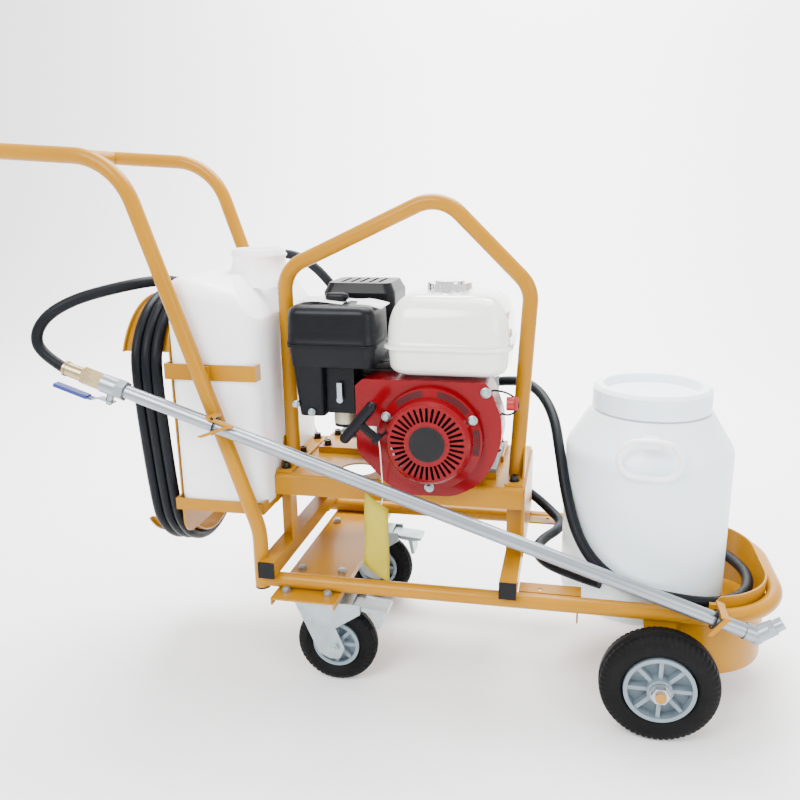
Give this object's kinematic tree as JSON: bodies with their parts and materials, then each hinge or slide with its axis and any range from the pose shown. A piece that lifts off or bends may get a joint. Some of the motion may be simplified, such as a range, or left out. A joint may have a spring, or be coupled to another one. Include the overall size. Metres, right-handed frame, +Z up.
{
  "type": "wheeled sprayer cart",
  "caption": "Push cart of bent tube on two front wheels and two braked swivel casters, carrying a petrol engine with a pump, a can, a drum, a hose rack and a lance.",
  "frame": {"origin": "on the ground, in the middle of the cart's outline seen from above", "axes": "+X runs forward to the drum end, +Y to the pump side, +Z up"},
  "size_m": [1.251, 0.5, 0.8876],
  "materials": {
    "yellow": "gloss",
    "red": "gloss",
    "tank_white": "gloss",
    "natural_plastic": "satin",
    "black_plastic": "satin",
    "red_plastic": "gloss",
    "grey_plastic": "satin",
    "tyre": "matte",
    "zinc": "satin",
    "lance_alloy": "satin",
    "chromate": "satin",
    "chrome": "polished",
    "cast_alloy": "cast",
    "iron": "rough",
    "hose": "matte",
    "lever_steel": "satin"
  },
  "bodies": {
    "cart": {"air_cleaner_case": "black_plastic", "air_cleaner_cover": "black_plastic", "can_cradle": "yellow", "carburettor": "cast_alloy", "caster_plate": "yellow", "caster_tops": "zinc", "crankcase": "cast_alloy", "cylinder_block": "cast_alloy", "delivery_hose": "hose", "drum_body": "natural_plastic", "drum_supports": "yellow", "engine_deck": "yellow", "fan_shroud": "red", "frame_bolts": "zinc", "front_axle": "zinc", "front_basket": "yellow", "front_rail_bend": "yellow", "fuel_tank": "tank_white", "handle_grip_bar": "yellow", "handle_tubes": "yellow", "hose_coil": "hose", "hose_fitting": "chromate", "hose_rack": "yellow", "lance_hooks": "yellow", "lance_hose": "hose", "lance_nozzle": "lance_alloy", "lance_pipe": "lance_alloy", "muffler_guard": "black_plastic", "pump_body": "cast_alloy", "rear_can": "natural_plastic", "recoil_cover": "red", "return_hose": "hose", "roll_hoop": "yellow", "side_rails": "yellow", "square_tubes": "yellow", "suction_hose": "hose", "tube_end_caps": "black_plastic", "valve_body": "lance_alloy"},
    "crankshaft": {"crankshaft_flywheel": "iron"},
    "fuel_cap": {"fuel_cap": "chrome"},
    "starter_grip": {"starter_grip": "black_plastic"},
    "engine_switch": {"engine_switch": "red_plastic"},
    "choke_lever": {"choke_lever": "zinc"},
    "pressure_knob": {"pressure_knob": "black_plastic"},
    "valve_lever": {"valve_lever": "lever_steel"},
    "drum_lid": {"drum_lid": "natural_plastic"},
    "drum_handle_near": {"drum_handle_near": "natural_plastic"},
    "drum_handle_far": {"drum_handle_far": "natural_plastic"},
    "front_wheel_near": {"front_hub_near": "grey_plastic", "front_tyre_near": "tyre"},
    "front_wheel_far": {"front_hub_far": "grey_plastic", "front_tyre_far": "tyre"},
    "caster_swivel_near": {"caster_fork_near": "zinc"},
    "caster_swivel_far": {"caster_fork_far": "zinc"},
    "caster_wheel_near": {"caster_hub_near": "grey_plastic", "caster_tyre_near": "tyre"},
    "caster_wheel_far": {"caster_hub_far": "grey_plastic", "caster_tyre_far": "tyre"},
    "brake_near": {"brake_pedal_near": "zinc"},
    "brake_far": {"brake_pedal_far": "zinc"}
  },
  "joints": [
    {"name": "crankshaft_spin", "type": "hinge", "parent": "cart", "child": "crankshaft", "pos_m": [0.066, 0, 0.432], "axis": [0, 1, 0], "continuous": true},
    {"name": "fuel_cap_turn", "type": "hinge", "parent": "cart", "child": "fuel_cap", "pos_m": [0.084, -0.046, 0.66], "axis": [0, 0, 1], "range_deg": [0, 90]},
    {"name": "starter_pull", "type": "slide", "parent": "cart", "child": "starter_grip", "axis": [-0.5, -0.866, 0], "range_m": [0, 0.25], "stiffness_N_per_m": 60, "springref_m": -0.03},
    {"name": "switch_turn", "type": "hinge", "parent": "cart", "child": "engine_switch", "pos_m": [0.187, -0.1, 0.486], "axis": [1, 0, 0], "range_deg": [-90, 0]},
    {"name": "choke_swing", "type": "hinge", "parent": "cart", "child": "choke_lever", "pos_m": [-0.083, -0.117, 0.486], "axis": [0, 1, 0], "range_deg": [-45, 0]},
    {"name": "pressure_turn", "type": "hinge", "parent": "cart", "child": "pressure_knob", "pos_m": [0.066, 0.166, 0.48], "axis": [0, 0, 1], "range_deg": [0, 270]},
    {"name": "valve_swing", "type": "hinge", "parent": "cart", "child": "valve_lever", "pos_m": [-0.43474, -0.198, 0.51367], "axis": [0.3195, 0, 0.9476], "range_deg": [0, 90]},
    {"name": "lid_lift", "type": "slide", "parent": "cart", "child": "drum_lid", "axis": [0, 0, 1], "range_m": [0, 0.25]},
    {"name": "bail_near_swing", "type": "hinge", "parent": "cart", "child": "drum_handle_near", "pos_m": [0.39923, -0.13966, 0.446], "axis": [0.9976, -0.0698, 0], "range_deg": [-75, 0]},
    {"name": "bail_far_swing", "type": "hinge", "parent": "cart", "child": "drum_handle_far", "pos_m": [0.41877, 0.13966, 0.446], "axis": [0.9976, -0.0698, 0], "range_deg": [0, 75]},
    {"name": "front_wheel_near_spin", "type": "hinge", "parent": "cart", "child": "front_wheel_near", "pos_m": [0.428, -0.209, 0.089], "axis": [0, 1, 0], "continuous": true},
    {"name": "caster_near_swivel", "type": "hinge", "parent": "cart", "child": "caster_swivel_near", "pos_m": [-0.13, -0.147, 0.158], "axis": [0, 0, 1], "continuous": true},
    {"name": "caster_near_spin", "type": "hinge", "parent": "caster_swivel_near", "child": "caster_wheel_near", "pos_m": [-0.092, -0.147, 0.069], "axis": [0, 1, 0], "continuous": true},
    {"name": "brake_near_press", "type": "hinge", "parent": "caster_swivel_near", "child": "brake_near", "pos_m": [-0.076, -0.147, 0.145], "axis": [0, 1, 0], "range_deg": [0, 8]},
    {"name": "front_wheel_far_spin", "type": "hinge", "parent": "cart", "child": "front_wheel_far", "pos_m": [0.428, 0.209, 0.089], "axis": [0, 1, 0], "continuous": true},
    {"name": "caster_far_swivel", "type": "hinge", "parent": "cart", "child": "caster_swivel_far", "pos_m": [-0.13, 0.147, 0.158], "axis": [0, 0, 1], "continuous": true},
    {"name": "caster_far_spin", "type": "hinge", "parent": "caster_swivel_far", "child": "caster_wheel_far", "pos_m": [-0.092, 0.147, 0.069], "axis": [0, 1, 0], "continuous": true},
    {"name": "brake_far_press", "type": "hinge", "parent": "caster_swivel_far", "child": "brake_far", "pos_m": [-0.076, 0.147, 0.145], "axis": [0, 1, 0], "range_deg": [0, 8]}
  ]
}
